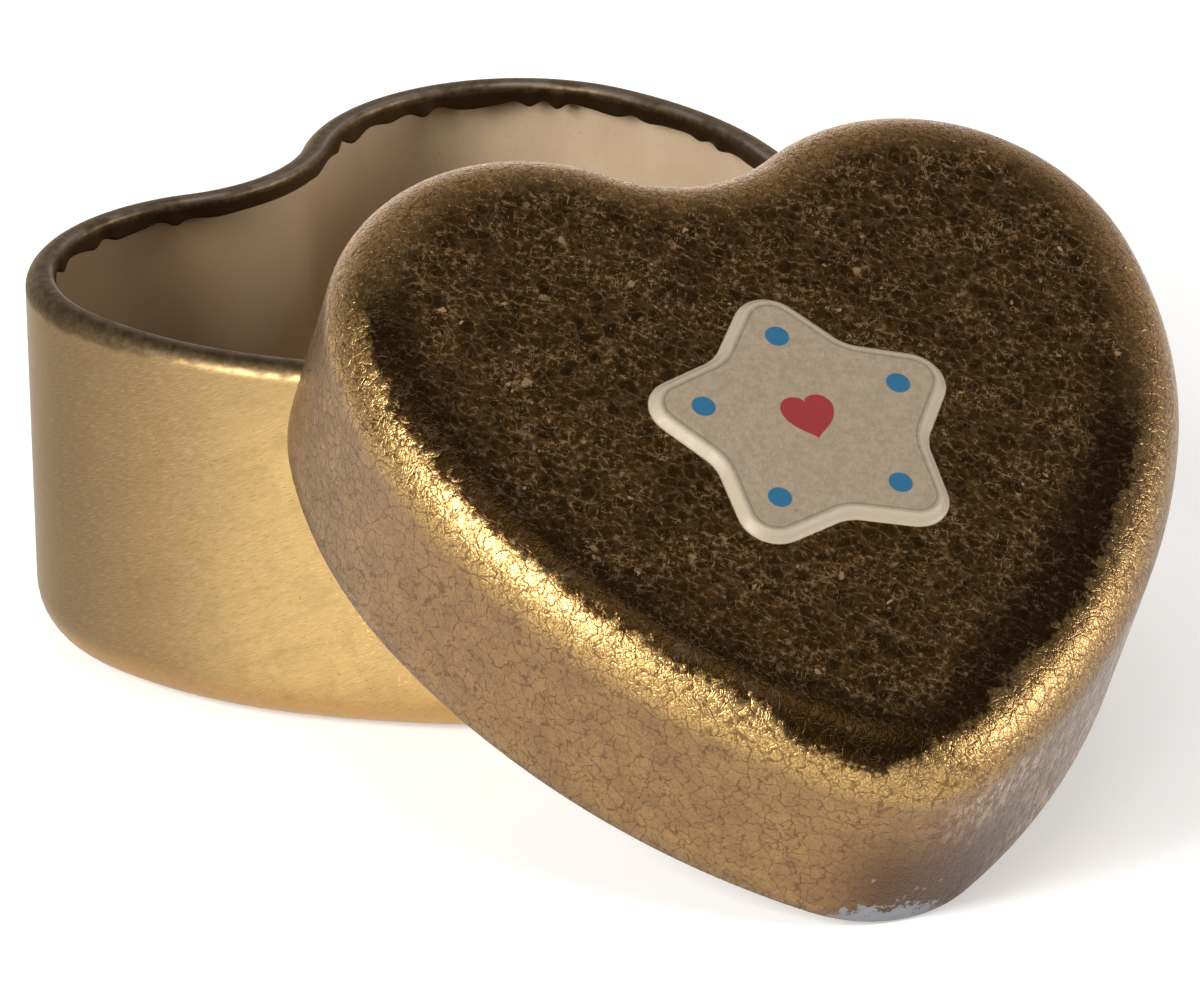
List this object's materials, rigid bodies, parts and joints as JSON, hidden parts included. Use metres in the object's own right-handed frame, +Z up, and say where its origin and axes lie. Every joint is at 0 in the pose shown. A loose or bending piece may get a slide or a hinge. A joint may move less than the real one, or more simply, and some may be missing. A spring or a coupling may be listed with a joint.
{
  "type": "heart-shaped keepsake tin",
  "caption": "Small heart-shaped metal keepsake box for milk teeth, with an inward curled rim and a separate cap lid that leans on the box, a raised star on its top.",
  "frame": {"origin": "centre of the heart's bounding box on the flat underside of the box", "axes": "+Z up, +Y from the heart's tip towards its notch, +X to the heart's right"},
  "size_m": [0.0639, 0.0839, 0.0392],
  "materials": {
    "box_lacquer": "satin gold lacquer outside, matt beige lacquer inside",
    "lid_lacquer": "crackled gold lacquer, cream enamel on the raised star"
  },
  "bodies": {
    "box": {"box_body": "box_lacquer"},
    "lid": {"lid": "lid_lacquer"}
  },
  "joints": [
    {"name": "lid_lift", "type": "slide", "parent": "box", "child": "lid", "axis": [0, 0, 1], "range_m": [0, 0.03]}
  ]
}
